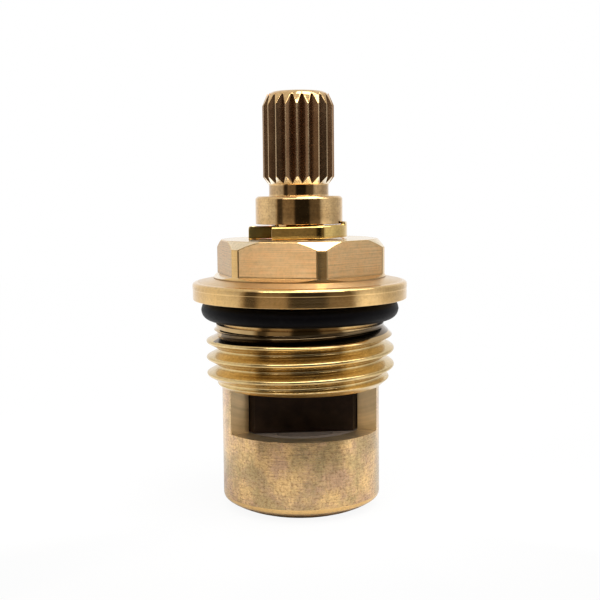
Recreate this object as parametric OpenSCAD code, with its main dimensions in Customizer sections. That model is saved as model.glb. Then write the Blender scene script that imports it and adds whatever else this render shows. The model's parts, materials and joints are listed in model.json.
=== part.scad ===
// Quarter-turn ceramic disc tap cartridge, in millimetres.
// The axis is Z, the seat seal's bottom is at Z = 0, and the two windows face -Y and +Y.

/* [Barrel and windows] */
// Outside diameter of the barrel
barrel_d = 17.6; // [17.2:0.1:18]
// Thickness of the barrel's wall
barrel_wall = 2.2; // [2:0.1:2.4]
// Length of the barrel, from its bottom to the thread
barrel_length = 13.45; // [13:0.05:13.6]
// Height of the windows' floor above the barrel's bottom
window_floor = 8.55; // [8.2:0.05:8.6]
// Half of the angle that each window takes up
window_half_angle = 65.5; // [55:0.5:68]
// How far the barrel's lower end is tapered in
bottom_taper_in = 1.7; // [1.2:0.1:1.7]
// Height of the taper at the barrel's lower end
bottom_taper_h = 0.95; // [0.6:0.05:1.2]

/* [Thread and flange] */
// Major diameter of the half-inch parallel pipe thread
thread_d = 20.955; // [20.8:0.005:21]
// Depth of the chamfer that leads into the thread
lead_in_depth = 1.45; // [1.2:0.05:1.5]
// Length of the thread at full diameter
thread_length = 4.15; // [4:0.05:4.4]
// Diameter of the plain neck above the thread
neck_d = 18.75; // [18.6:0.05:19.2]
// Diameter of the flange
flange_d = 23.8; // [23.4:0.1:25]
// Height of the flange's rim, up to its rounded edge
flange_t = 1.6; // [1.4:0.05:1.8]
// Height by which the flange's top rises from the rim to the hexagon
flange_rise = 0.85; // [0.7:0.05:1]

/* [Hexagon] */
// Width across the spanner flats
hex_flats = 17; // [17:0.1:17.6]
// Diameter that the six corners are turned to
hex_corner_d = 19.1; // [18.6:0.1:19.6]
// Height of the hexagon above the flange
hex_height = 4.15; // [4:0.05:4.4]
// Height above the flange at which the spanner flats end
hex_step = 0.35; // [0.3:0.05:0.6]
// Angle from the front window's middle to the nearest corner
hex_turn = 8.6; // [0:0.1:60]

/* [Spindle] */
// Diameter of the shaft and of the collar
shaft_d = 9.65; // [9.4:0.05:9.7]
// Radial running clearance of the shaft in the body
shaft_clearance = 0.03; // [0.02:0.01:0.08]
// Diameter over the teeth of the spline
spline_d = 7.86; // [7.8:0.02:8.2]
// Diameter at the bottom of the spline's grooves
spline_root_d = 6.7; // [6.6:0.05:6.9]
// Diameter of the neck between the spline and the collar
spindle_neck_d = 6.6; // [6:0.05:6.6]
// Number of teeth on the spline
spline_teeth = 20; // [18:1:24]
// Height of the collar above the clip's groove
collar_height = 3.05; // [2.8:0.05:3.5]
// Height of the spindle above the collar
spline_height = 11.35; // [10:0.05:13]
// Diameter of the tapped hole for the handle's screw, before tapping
screw_hole_d = 3.3; // [2.8:0.1:4]
// Depth of the tapped hole
screw_hole_depth = 10; // [8:0.5:12]
// Angle that each stop lug takes up
lug_angle = 52; // [46:1:52]

/* [Clip] */
// Outside diameter of the clip
clip_d = 10.95; // [10.5:0.05:11.5]
// Width across the clip's two flats
clip_flats = 9.7; // [9.6:0.05:10]
// Thickness of the clip
clip_t = 1.4; // [1.2:0.05:1.5]
// Angle of the clip's opening
clip_gap_angle = 58; // [40:1:70]

/* [Rings and seal] */
// Section of the ring under the flange
flange_ring_section = 2.25; // [2.1:0.05:2.4]
// Outside diameter of the ring under the flange
flange_ring_d = 22; // [21.8:0.1:22.4]
// Section of the spindle's rings
spindle_ring_section = 1.4; // [1.2:0.05:1.5]
// How far the seat seal stands out below the barrel
seal_proud = 0.25; // [0.2:0.05:0.5]

/* [Ceramic discs] */
// Thickness of the fixed disc
fixed_disc_t = 3; // [2.8:0.1:3.2]
// Thickness of the moving disc
moving_disc_t = 4.5; // [4.2:0.05:4.6]
// Width across the moving disc's flats
moving_disc_flats = 7.2; // [7:0.1:7.4]

/* [Hidden] */
$fn = 96;
// Small length by which a cut runs past the face that it opens
over = 1;
// Film of grease between faces that slide on each other
film = 0.05;
// Gap between pieces that rest against each other
seat_gap = 0.02;

// Heights of the body's steps
barrel_bottom = seal_proud;
floor_z = barrel_bottom + window_floor;
window_top = barrel_bottom + barrel_length;
thread_start = window_top + 0.85 * lead_in_depth;
thread_end = thread_start + thread_length;
flange_z = 23.3;
flange_top = flange_z + flange_t;
hex_foot_z = flange_top + flange_rise;
hex_top = hex_foot_z + hex_height;
ring_groove_r = flange_ring_d / 2 - flange_ring_section - seat_gap;
ring_groove_z = flange_z - flange_ring_section - 0.45;
neck_start = thread_end + (thread_d - neck_d) / 2;
barrel_r = barrel_d / 2;
chamber_r = barrel_r - barrel_wall;
flange_round_in = 0.5;
flange_round_h = 0.47;
hex_foot_in = 0.25;
hex_chamfer_start = hex_flats / 2 + 0.15;
shaft_r = shaft_d / 2;
shaft_bore_r = shaft_r + shaft_clearance;
bore_edge = 0.3;

// Keyways that hold the fixed disc, and the groove that holds the seal's bead
key_width = 4;
key_r = chamber_r + 1;
bead_groove_r = chamber_r + 0.45;
bead_groove_z = barrel_bottom + 1.6;
bead_groove_h = 1.3;

// Stack of inner pieces
fixed_disc_z = floor_z - fixed_disc_t;
moving_disc_z = floor_z + film;
moving_disc_top = moving_disc_z + moving_disc_t;
plate_t = 2.7;
plate_top = moving_disc_top + plate_t;
washer_t = 0.6;
washer_z = plate_top + film;
shoulder_z = washer_z + washer_t + seat_gap;

// Stop ribs in the body and lugs on the spindle: the lugs end one degree short of the ribs at each limit
turn = 90;
stop_slack = 1;
rib_half_angle = (180 - turn - lug_angle) / 2 - stop_slack;
rib_r = 5.4;
plate_r = rib_r - 0.1;
lug_r = chamber_r - 0.15;
lug_middle = 180 - rib_half_angle - stop_slack - lug_angle / 2;

// Spindle details
ring_groove_width = spindle_ring_section + 0.5;
spindle_ring_r = shaft_r - spindle_ring_section / 2;
lower_ring_z = shoulder_z + 3.2;
upper_ring_z = shoulder_z + 8.2;
clip_groove_r = 2.7;
clip_z = hex_top + 0.1;
clip_groove_z = clip_z - 0.1;
collar_z = clip_z + clip_t + 0.15;
collar_top = collar_z + collar_height;
collar_edge = 0.25;
spindle_top = collar_top + spline_height;
spline_r = spline_d / 2;
spline_root_r = spline_root_d / 2;
spindle_neck_r = spindle_neck_d / 2;
spline_tip_r = spline_r + 0.1;
spline_start = collar_top + 1.25;
spline_full = spline_start + 0.85;
spline_taper_z = spindle_top - 1.5;
spline_top_r = 3.5;
spline_top_edge = 0.5;
spline_turn = -97.6;
screw_hole_r = screw_hole_d / 2;
screw_countersink = 0.6;
tongue_width = 2.6;
tongue_length = 9;
tongue_depth = 2.6;
tongue_gap = 0.05;

// Moving disc
moving_disc_r = chamber_r - 0.1;
disc_edge = 0.2;

// Fixed disc
fixed_disc_r = chamber_r - 0.06;
port_inner = moving_disc_flats / 2 + 0.15;
port_half_width = 3;
port_r = 5.6;
key_gap = 0.08;

// Clip, which lies a little to one side in its groove and opens to the left of the front window
clip_aside = 0.15;
clip_gap_middle = 205.4;
clip_flats_turn = -15.6;
clip_ear_angle = 18;
clip_ear_middle = 345.4;
clip_ear_rise = 0.3;

// Seat seal and its ring
seal_r = chamber_r - 0.05;
seal_top = fixed_disc_z - seat_gap;
seal_foot_r = seal_r - 0.1;
seal_lip_r = 5.05;
seal_mouth_r = port_r + 0.1;
support_groove_r = 5.9;
support_z = 1.2;
support_h = 2.9;
support_bore_r = 5.15;

brass = "#c69b5f";
bright_brass = "#c9a548";
black_rubber = "#17171a";
dark_ceramic = "#332822";
grey_ceramic = "#5d5044";
acetal = "#ece9e0";

// Ring sector between two radii, from one angle over another, as tall as h
module sector(inner_r, outer_r, from_angle, angle, h) {
    rotate([0, 0, from_angle])
        rotate_extrude(angle = angle)
            translate([inner_r, 0])
                square([outer_r - inner_r, h]);
}

// Ring of round section, standing with its middle at z
module sealing_ring(middle_r, section, z) {
    translate([0, 0, z])
        rotate_extrude()
            translate([middle_r, 0])
                circle(d = section, $fn = 48);
}

// Two copies on opposite sides of the axis
module both_sides() {
    children();
    rotate([0, 0, 180])
        children();
}

// Turned outside of the body, with the pipe thread as a cylinder of its major diameter
module body_outside() {
    thread_r = thread_d / 2;
    flange_r = flange_d / 2;
    base_r = hex_corner_d / 2;
    // Taper at the lower end, bulging a little: how far in and how far up, as shares of the whole
    taper = [[1, 0], [0.62, 0.31], [0.3, 0.63], [0, 1]];
    rotate_extrude()
        polygon([
            [0, barrel_bottom],
            for (share = taper)
                [barrel_r - bottom_taper_in * share[0], barrel_bottom + bottom_taper_h * share[1]],
            [barrel_r, window_top],
            [thread_r - lead_in_depth, window_top],
            [thread_r, thread_start],
            [thread_r, thread_end],
            [neck_d / 2, neck_start],
            [neck_d / 2, ring_groove_z],
            [ring_groove_r, ring_groove_z],
            [ring_groove_r, flange_z],
            [flange_r, flange_z],
            [flange_r, flange_top],
            [flange_r - 0.3 * flange_round_in, flange_top + 0.52 * flange_round_h],
            [flange_r - flange_round_in, flange_top + flange_round_h],
            for (a = [0:30:90])
                [base_r + hex_foot_in * (1 - sin(a)), hex_foot_z + hex_foot_in * (1 - cos(a))],
            [base_r, hex_top],
            [0, hex_top]
        ]);
}

// What the spanner flats and the corner chamfer take away above the hexagon's rounded foot
module around_hexagon() {
    outer_r = flange_d;
    chamfer_drop = hex_corner_d / 2 - hex_chamfer_start;
    translate([0, 0, hex_foot_z + hex_step])
        difference() {
            cylinder(r = outer_r, h = hex_height + over);
            translate([0, 0, -over])
                rotate([0, 0, hex_turn - 90])
                    cylinder(r = hex_flats / 2 / cos(30), h = hex_height + 3 * over, $fn = 6);
        }
    translate([0, 0, hex_top - chamfer_drop])
        rotate_extrude()
            polygon([
                [hex_chamfer_start + chamfer_drop, 0],
                [hex_chamfer_start + 2 * chamfer_drop, 0],
                [hex_chamfer_start + 2 * chamfer_drop, chamfer_drop + over],
                [hex_chamfer_start - over, chamfer_drop + over]
            ]);
}

// Chamber, shaft bore, keyways and groove inside the body
module body_inside() {
    translate([0, 0, barrel_bottom - over])
        cylinder(r = chamber_r, h = shoulder_z - barrel_bottom + over);
    translate([0, 0, shoulder_z - over])
        cylinder(r = shaft_bore_r, h = hex_top - shoulder_z + 2 * over);
    translate([0, 0, hex_top - bore_edge])
        cylinder(r1 = shaft_bore_r, r2 = shaft_bore_r + bore_edge + over, h = bore_edge + over);
    translate([0, 0, bead_groove_z])
        cylinder(r = bead_groove_r, h = bead_groove_h);
    intersection() {
        translate([-key_r, -key_width / 2, barrel_bottom - over])
            cube([2 * key_r, key_width, window_floor + over]);
        cylinder(r = key_r, h = floor_z);
    }
}

// One-piece brass body
module valve_body() {
    color(brass)
    union() {
        difference() {
            body_outside();
            around_hexagon();
            body_inside();
            both_sides()
                translate([0, 0, floor_z])
                    sector(chamber_r - over, barrel_r + over, 270 - window_half_angle, 2 * window_half_angle,
                        window_top - floor_z);
        }
        both_sides()
            translate([0, 0, window_top])
                sector(rib_r, chamber_r + barrel_wall / 2, -rib_half_angle, 2 * rib_half_angle,
                    shoulder_z - window_top);
    }
}

module flange_oring() {
    color(black_rubber)
        sealing_ring((flange_ring_d - flange_ring_section) / 2, flange_ring_section,
            flange_z - flange_ring_section / 2 - seat_gap);
}

// Star-shaped section of the spline
module spline_section() {
    step = 180 / spline_teeth;
    polygon([
        for (i = [0:2 * spline_teeth - 1])
            let (r = i % 2 == 0 ? spline_tip_r : spline_root_r)
                [r * cos(i * step), r * sin(i * step)]
    ]);
}

// Spline with both ends turned down, the lower cone running on into the neck
module spline() {
    cone_slope = (spline_r - spindle_neck_r) / (spline_full - spline_start);
    cone_sunk = 0.3;
    intersection() {
        translate([0, 0, collar_top])
            rotate([0, 0, spline_turn])
                linear_extrude(spline_height)
                    spline_section();
        rotate_extrude()
            polygon([
                [0, spline_start - cone_sunk],
                [spindle_neck_r - cone_sunk * cone_slope, spline_start - cone_sunk],
                [spline_r, spline_full],
                [spline_r, spline_taper_z],
                [spline_top_r, spindle_top - spline_top_edge],
                [spline_top_r - 0.25, spindle_top - 0.45 * spline_top_edge],
                [spline_top_r - 0.65, spindle_top],
                [0, spindle_top]
            ]);
    }
}

// Shaft with its collar, neck and grooves
module spindle_shaft() {
    ring_groove_r = spindle_ring_r - spindle_ring_section / 2 - seat_gap;
    function groove(z) = [
        [shaft_r, z - ring_groove_width / 2],
        [ring_groove_r, z - ring_groove_width / 2],
        [ring_groove_r, z + ring_groove_width / 2],
        [shaft_r, z + ring_groove_width / 2]
    ];
    rotate_extrude()
        polygon([
            [0, moving_disc_top],
            [plate_r, moving_disc_top],
            [plate_r, plate_top],
            [shaft_r, plate_top],
            each groove(lower_ring_z),
            each groove(upper_ring_z),
            [shaft_r, clip_groove_z],
            [clip_groove_r, clip_groove_z],
            [clip_groove_r, collar_z],
            [shaft_r, collar_z],
            [shaft_r, collar_top - collar_edge],
            [shaft_r - collar_edge, collar_top],
            [spindle_neck_r, collar_top],
            [spindle_neck_r, spline_start + over],
            [0, spline_start + over]
        ]);
}

// Brass spindle with stop lugs and a tongue that drives the moving disc
module spindle() {
    color(brass)
    difference() {
        union() {
            spindle_shaft();
            spline();
            both_sides()
                translate([0, 0, moving_disc_top])
                    sector(plate_r - over, lug_r, lug_middle - lug_angle / 2, lug_angle, plate_t);
            translate([-tongue_length / 2, -tongue_width / 2, moving_disc_top - tongue_depth])
                cube([tongue_length, tongue_width, tongue_depth + over]);
        }
        translate([0, 0, spindle_top - screw_hole_depth])
            cylinder(r = screw_hole_r, h = screw_hole_depth + over);
        translate([0, 0, spindle_top - screw_countersink])
            cylinder(r1 = screw_hole_r, r2 = screw_hole_r + screw_countersink + over,
                h = screw_countersink + over);
    }
}

// Split ring with two flats and a raised ear to lever it off by
module retaining_clip() {
    inner_r = clip_groove_r + film + clip_aside;
    ear_r = shaft_r + film + clip_aside;
    ring_angle = 360 - clip_gap_angle;
    color(bright_brass)
    translate([-clip_aside, 0, clip_z])
        intersection() {
            union() {
                sector(inner_r, clip_d / 2, clip_gap_middle + clip_gap_angle / 2, ring_angle, clip_t);
                sector(ear_r, clip_d / 2, clip_ear_middle - clip_ear_angle / 2, clip_ear_angle,
                    clip_t + clip_ear_rise);
            }
            rotate([0, 0, clip_flats_turn])
                translate([-clip_d, -clip_flats / 2, -over])
                    cube([2 * clip_d, clip_flats, clip_t + 3 * over]);
        }
}

module upper_spindle_oring() {
    color(black_rubber)
        sealing_ring(spindle_ring_r, spindle_ring_section, upper_ring_z);
}

module lower_spindle_oring() {
    color(black_rubber)
        sealing_ring(spindle_ring_r, spindle_ring_section, lower_ring_z);
}

// Washer with two notches that keep it on the body's stop ribs
module thrust_washer() {
    washer_bore_r = shaft_r + 0.15;
    notch_angle = 2 * rib_half_angle + 3;
    color(acetal)
    translate([0, 0, washer_z])
        difference() {
            cylinder(r = lug_r, h = washer_t);
            translate([0, 0, -over])
                cylinder(r = washer_bore_r, h = washer_t + 2 * over);
            both_sides()
                translate([0, 0, -over])
                    sector(rib_r - 0.1, lug_r + over, -notch_angle / 2, notch_angle, washer_t + 2 * over);
        }
}

// Bar-shaped disc with a slot for the spindle's tongue
module moving_disc() {
    slot_length = tongue_length + 2 * tongue_gap;
    slot_width = tongue_width + 2 * tongue_gap;
    slot_depth = tongue_depth + tongue_gap;
    color(dark_ceramic)
    difference() {
        intersection() {
            translate([0, 0, moving_disc_z])
                union() {
                    cylinder(r = moving_disc_r, h = moving_disc_t - disc_edge);
                    translate([0, 0, moving_disc_t - disc_edge])
                        cylinder(r1 = moving_disc_r, r2 = moving_disc_r - disc_edge, h = disc_edge);
                }
            translate([-chamber_r, -moving_disc_flats / 2, moving_disc_z])
                cube([2 * chamber_r, moving_disc_flats, moving_disc_t]);
        }
        translate([-slot_length / 2, -slot_width / 2, moving_disc_top - slot_depth])
            cube([slot_length, slot_width, slot_depth + over]);
    }
}

// Disc with two ports under the windows and two ears in the body's keyways
module fixed_disc() {
    ear_r = key_r - key_gap;
    ear_width = key_width - 2 * key_gap;
    color(grey_ceramic)
    translate([0, 0, fixed_disc_z])
        difference() {
            union() {
                cylinder(r = fixed_disc_r, h = fixed_disc_t - seat_gap);
                intersection() {
                    translate([-ear_r, -ear_width / 2, 0])
                        cube([2 * ear_r, ear_width, fixed_disc_t - seat_gap]);
                    cylinder(r = ear_r, h = fixed_disc_t);
                }
            }
            both_sides()
                intersection() {
                    translate([-port_half_width, -port_r, -over])
                        cube([2 * port_half_width, port_r - port_inner, fixed_disc_t + 2 * over]);
                    translate([0, 0, -over])
                        cylinder(r = port_r, h = fixed_disc_t + 2 * over);
                }
        }
}

// Rubber seal with a bead in the barrel's groove and a groove for its own ring
module seat_seal() {
    bead_r = bead_groove_r - film;
    bead_edge = 0.25;
    color(black_rubber)
    rotate_extrude()
        polygon([
            [seal_lip_r, 0],
            [seal_foot_r, 0],
            [seal_r, 0.15],
            [seal_r, bead_groove_z + film],
            [bead_r, bead_groove_z + film + bead_edge],
            [bead_r, bead_groove_z + bead_groove_h - film - bead_edge],
            [seal_r, bead_groove_z + bead_groove_h - film],
            [seal_r, seal_top],
            [seal_mouth_r, seal_top],
            [support_bore_r, support_z + support_h + 0.6],
            [support_bore_r, support_z + support_h],
            [support_groove_r, support_z + support_h],
            [support_groove_r, support_z],
            [seal_lip_r, support_z]
        ]);
}

// Ring inside the seal, with its bore chamfered at both ends
module seal_support_ring() {
    ring_r = support_groove_r - seat_gap;
    ring_z = support_z + seat_gap;
    ring_h = support_h - 2 * seat_gap;
    ring_edge = 0.3;
    color(acetal)
    translate([0, 0, ring_z])
        rotate_extrude()
            polygon([
                [support_bore_r + ring_edge, 0],
                [ring_r, 0],
                [ring_r, ring_h],
                [support_bore_r + ring_edge, ring_h],
                [support_bore_r, ring_h - ring_edge],
                [support_bore_r, ring_edge]
            ]);
}

valve_body();
flange_oring();
spindle();
retaining_clip();
upper_spindle_oring();
lower_spindle_oring();
thrust_washer();
moving_disc();
fixed_disc();
seat_seal();
seal_support_ring();
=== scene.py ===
"""Looks of the ceramic disc tap cartridge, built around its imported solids."""
import json
import math

import bmesh
import bpy
from mathutils import Matrix, Vector

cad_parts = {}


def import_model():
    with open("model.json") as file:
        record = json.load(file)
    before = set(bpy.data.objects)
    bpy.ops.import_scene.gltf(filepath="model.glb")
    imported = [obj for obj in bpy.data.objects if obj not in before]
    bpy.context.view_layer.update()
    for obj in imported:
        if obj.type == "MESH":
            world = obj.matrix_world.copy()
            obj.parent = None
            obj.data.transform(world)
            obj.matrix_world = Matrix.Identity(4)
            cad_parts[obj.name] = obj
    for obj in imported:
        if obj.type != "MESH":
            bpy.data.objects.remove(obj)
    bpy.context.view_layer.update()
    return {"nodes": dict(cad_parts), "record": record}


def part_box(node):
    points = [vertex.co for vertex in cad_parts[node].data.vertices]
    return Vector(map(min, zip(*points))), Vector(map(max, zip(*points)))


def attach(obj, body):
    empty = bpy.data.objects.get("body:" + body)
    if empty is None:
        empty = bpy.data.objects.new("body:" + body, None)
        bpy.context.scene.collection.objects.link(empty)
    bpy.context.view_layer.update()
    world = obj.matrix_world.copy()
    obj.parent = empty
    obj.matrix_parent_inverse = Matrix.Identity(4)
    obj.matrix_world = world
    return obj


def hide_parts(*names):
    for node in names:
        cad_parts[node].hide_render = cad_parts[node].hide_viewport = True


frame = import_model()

MM = 0.001


def size_box(node):
    """Lowest and highest corner of a solid, in millimetres."""
    low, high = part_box(node)
    return low / MM, high / MM


# Sizes in millimetres that the solids give
body_low, body_high = size_box("valve_body")
ring_low, ring_high = size_box("flange_oring")
clip_low, clip_high = size_box("retaining_clip")
stem_high = size_box("spindle")[1]
disc_high = size_box("moving_disc")[1]
fixed_high = size_box("fixed_disc")[1]
seal_low, seal_high = size_box("seat_seal")
support_low, support_high = size_box("seal_support_ring")
mounts = {mount["name"]: mount for mount in frame["record"]["mounts"]}

SEAT_GAP = 0.02
barrel_bottom = body_low.z
hex_top = body_high.z
flange_r = body_high.x
flange_z = ring_high.z + SEAT_GAP
floor_z = fixed_high.z + SEAT_GAP
thread_r = mounts["inlet_thread"]["dims"]["r_mm"]
screw_hole_r = mounts["handle_screw"]["dims"]["r_mm"]
screw_hole_depth = mounts["handle_screw"]["dims"]["length_mm"]

# Body
BARREL_R = 8.8
CHAMBER_R = 6.6
WINDOW_TOP = 13.7
WINDOW_HALF_ANGLE = 65.5
TAPER_IN = 1.7
TAPER_H = 0.95
TAPER_SHARES = ((1, 0), (0.62, 0.31), (0.3, 0.63), (0, 1))
END_FACE = 0.1
END_FACE_LEAST = 0.002
WINDOW_EDGE = 0.1
LEAD_IN = 1.45
LEAD_IN_SLOPE = 0.85
FLANGE_T = 1.6
FLANGE_RISE = 0.77
FLANGE_ROUND_IN = 0.45
FLANGE_ROUND_H = 0.38
FLANGE_ROUND_SHARES = ((0.05, 0.5), (0.45, 0.88))
FLANGE_LIP_Z = 1.18
FLANGE_LIP_R = 0.03
FLANGE_LIP_SLOPE = 0.05
NECK_R = 9.375
NECK_BELOW_RING = 0.43
RING_GROOVE_R = 8.73
RING_GROOVE_SLOPE = 0.03
HEX_HALF_FLATS = 8.5
HEX_CORNER_R = 9.55
HEX_CHAMFER_R = 8.65
HEX_CHAMFER_LEAST = 0.08
HEX_CORNER_ANGLE = -81.4
HEX_STEP = 0.43
HEX_FOOT_OUT = 0.05
HEX_RELIEF_IN = 0.04
HEX_RELIEF_H = 0.1
HEX_RELIEF_SLOPE = 0.02
HEX_LEDGE_SLOPE = 0.35
HEX_BURR_IN = 0.001
HEX_EDGE = 0.1
HEX_EDGE_ANGLE = 0.9
SHAFT_BORE_R = 4.855
SHAFT_BORE_CHAMFER = 0.3
SHOULDER_Z = 16.72
RIB_R = 5.4
RIB_HALF_ANGLE = 18
KEY_R = 7.6
KEY_HALF_WIDTH = 2
BEAD_GROOVE_R = 7.05
BEAD_GROOVE_Z = 1.85
BEAD_GROOVE_H = 1.3

# Half-inch parallel pipe thread, with rounded crests and roots
PITCH = 1.814
THREAD_DEPTH = 1.1616
THREAD_ROUND = 0.2491
FLANK_ANGLE = math.radians(27.5)
CREST_HEIGHT = 15.95
THREAD_ROW = 0.045
THREAD_END_ROW = 0.02
LEAD_IN_EASE = 0.12
RUN_OUT_EASE = 0.05

# Painted shade in the thread's last groove, standing for the ring's dark reflection: the angle at its start,
# and heights above the crest below it
LAST_GROOVE_START = 198
LAST_GROOVE_LOW = 0.2
LAST_GROOVE_HIGH = 1.2

# Spindle
SHAFT_R = 4.825
PLATE_R = 5.3
PLATE_T = 2.7
LUG_ANGLE = 52
LUG_MIDDLE = 135
LUG_SIDE_ANGLE = 0.1
STEM_GROOVE_R = 3.405
STEM_GROOVE_H = 1.9
CLIP_GROOVE_R = 2.7
CLIP_GROOVE_BELOW = 0.1
COLLAR_HEIGHT = 3.05
COLLAR_CHAMFER = 0.25
STEM_NECK_R = 3.3
SPLINE_HEIGHT = 11.35
SPLINE_TEETH = 20
ROOT_ANGLE = 180 / SPLINE_TEETH
SPLINE_R = 3.93
SPLINE_ROOT_R = 3.35
SPLINE_TIP_R = 4.03
SPLINE_TURN = -97.6
SPLINE_COLUMNS = (0.1, 0.28, 0.5, 0.75, 0.999)
SPLINE_TIP_SHARE = 0.2
SPLINE_RUN_IN = 1.25
SPLINE_CONE_H = 0.85
SPLINE_TAPER_H = 1.5
SPLINE_TOP_R = 3.5
SPLINE_TOP_EDGE = 0.5
SPLINE_TOP_BEND_IN = 0.25
SPLINE_TOP_BEND_SHARE = 0.45
SPLINE_TOP_FACE_IN = 0.65
SCREW_COUNTERSINK = 0.6
TONGUE_SIZE = Vector((9, 2.6, 3.6))
TONGUE_IN_PLATE = 1

# Clip
CLIP_T = 1.4
CLIP_R = 5.475
CLIP_HALF_FLATS = 4.5
CLIP_FLATS_ROUND = 0.08
CLIP_LEAST_COSINE = 0.01
CLIP_FLATS_ANGLE = -103.4
CLIP_ASIDE = 0.15
CLIP_GAP_MIDDLE = 203.2
CLIP_GAP_ANGLE = 53.6
CLIP_EAR_MIDDLE = 345.4
CLIP_EAR_ANGLE = 18
CLIP_EAR_SIDE_ANGLE = 0.4
CLIP_EAR_SLOPE = 0.06
CLIP_TOP_ROUND = 0.45
CLIP_TOP_LAND = 0.02
CLIP_EDGE = 0.08
CLIP_PLAY = 0.05
CLIP_TILT = 0.02
CLIP_END_IN = 0.05
CLIP_END_ANGLE = 0.5
CLIP_COLUMN_ANGLE = 2

# Flange ring, seal and its support ring
RING_FLASH = 0.015
RING_SECTION_POINTS = 40
SEAL_LIP_R = 5.05
SEAL_MOUTH_R = 5.7
SEAL_MOUTH_H = 0.6
SEAL_FOOT_IN = 0.15
SEAL_PLAY = 0.05
BEAD_SLOPE = 0.25
SUPPORT_BORE_R = 5.15
SUPPORT_CHAMFER = 0.3

# Meshes: angles in degrees, and the share of a side that the rounding of a corner may take
EVEN_ANGLES = [1.5 * i for i in range(240)]
COLUMN_LEAST_ANGLE = 0.2
SIDE_ANGLE = 0.05
ROUND_STEPS = 3
CLIP_ROUND_STEPS = 5
ROUND_SHARE = 0.45
SAME_PLACE = 1e-5
PLACE_DIGITS = 7
ANGLE_DIGITS = 3
SHARP_ANGLE = 28
BODY_SHARP_ANGLE = 21
CLIP_SHARP_ANGLE = 24
RING_SHARP_ANGLE = 60


def angle_between(a, b):
    """Smaller angle between two directions, in degrees."""
    return abs((a - b + 180) % 360 - 180)


def angle_from_line(a, b):
    """Smaller angle between a direction and a line through the axis, in degrees."""
    return min(angle_between(a, b), angle_between(a, b + 180))


def eased_min(a, b, reach):
    """Smaller of two lengths, with the corner where they cross rounded over a reach."""
    return min(a, b) - reach * math.log1p(math.exp(-abs(a - b) / reach))


def rounded(corners, steps=ROUND_STEPS):
    """Points and zones of a profile whose corners (r, z, reach, zone) are rounded over their reach."""
    made = []
    last = len(corners) - 1
    for i, (r, z, reach, zone) in enumerate(corners):
        corner = Vector((r, z))
        if reach == 0 or i in (0, last):
            made.append((corner, zone))
            continue
        before = Vector(corners[i - 1][:2]) - corner
        after = Vector(corners[i + 1][:2]) - corner
        start = corner + before.normalized() * min(reach, ROUND_SHARE * before.length)
        end = corner + after.normalized() * min(reach, ROUND_SHARE * after.length)
        for k in range(steps + 1):
            s = k / steps
            point = start * (1 - s) ** 2 + corner * 2 * s * (1 - s) + end * s * s
            made.append((point, zone if k == steps else "turned"))
    return made


def around(angle, point):
    """Place of a profile point (r, z) at an angle round the axis, in metres."""
    a = math.radians(angle)
    return (point.x * math.cos(a) * MM, point.x * math.sin(a) * MM, point.y * MM)


def smooth(mesh, sharp):
    """Shades a mesh smooth but for edges sharper than an angle."""
    mesh.polygons.foreach_set("use_smooth", [True] * len(mesh.polygons))
    mesh.set_sharp_from_angle(angle=math.radians(sharp))


def finished(name, points, faces, zones, slots, sharp=SHARP_ANGLE):
    """New mesh object with one material for each zone, smooth but for edges sharper than the given angle."""
    mesh = bpy.data.meshes.new(name)
    mesh.from_pydata(points, [], faces)
    order = list(slots)
    for zone in order:
        mesh.materials.append(slots[zone])
    for face, zone in zip(mesh.polygons, zones):
        face.material_index = order.index(zone) if zone in order else 0
    edit = bmesh.new()
    edit.from_mesh(mesh)
    bmesh.ops.remove_doubles(edit, verts=edit.verts, dist=SAME_PLACE * MM)
    bmesh.ops.recalc_face_normals(edit, faces=edit.faces)
    edit.to_mesh(mesh)
    edit.free()
    smooth(mesh, sharp)
    piece = bpy.data.objects.new(name, mesh)
    bpy.context.scene.collection.objects.link(piece)
    return piece


def revolved(name, angles, profile_at, slots, closed, sharp=SHARP_ANGLE):
    """Piece through a profile for each angle round the axis; a closed profile joins its two ends."""
    columns = [rounded(profile_at(a)) for a in angles]
    count = len(columns[0])
    points = [around(a, p) for a, column in zip(angles, columns) for p, _ in column]
    faces = []
    zones = []
    for j in range(len(angles)):
        k = (j + 1) % len(angles)
        for i in range(count if closed else count - 1):
            n = (i + 1) % count
            faces.append((j * count + i, k * count + i, k * count + n, j * count + n))
            zones.append(columns[j][i][1])
    return finished(name, points, faces, zones, slots, sharp)


# Materials: colours are red, green and blue; the middle of the windows' cutter is in millimetres
GOLD = (0.80, 0.53, 0.23)
GOLD_TINT = (0.75, 0.48, 0.19)
CUTTER_MIDDLE = (0, -14, 17)
TOOL_LINE_CHANGE = 0.12
QUARTER_TURN = 0.25


def new_material(name):
    """New material, its nodes and the Principled shader on its output."""
    made = bpy.data.materials.new(name)
    made.use_nodes = True
    tree = made.node_tree
    return made, tree, tree.nodes["Principled BSDF"]


def feed(tree, target, inputs):
    """Gives inputs of a shader node, called by name or number, a value or another node's output."""
    for key, value in inputs.items():
        if isinstance(value, bpy.types.NodeSocket):
            tree.links.new(value, target.inputs[key])
        else:
            target.inputs[key].default_value = value


def node(tree, kind, settings=None, **inputs):
    """New shader node with its inputs, which are called by name or as i0, i1."""
    made = tree.nodes.new(kind)
    for key, value in (settings or {}).items():
        setattr(made, key, value)
    feed(tree, made, {int(key[1:]) if key[1:].isdigit() else key: value for key, value in inputs.items()})
    return made


def maths(tree, operation, a, b=0.0):
    """Output of a math node."""
    return node(tree, "ShaderNodeMath", {"operation": operation}, i0=a, i1=b).outputs[0]


def vector_maths(tree, operation, **inputs):
    """Output of a vector math node, which is a number for some operations."""
    made = node(tree, "ShaderNodeVectorMath", {"operation": operation}, **inputs)
    return made.outputs["Value" if operation in ("DISTANCE", "DOT_PRODUCT", "LENGTH") else "Vector"]


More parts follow.
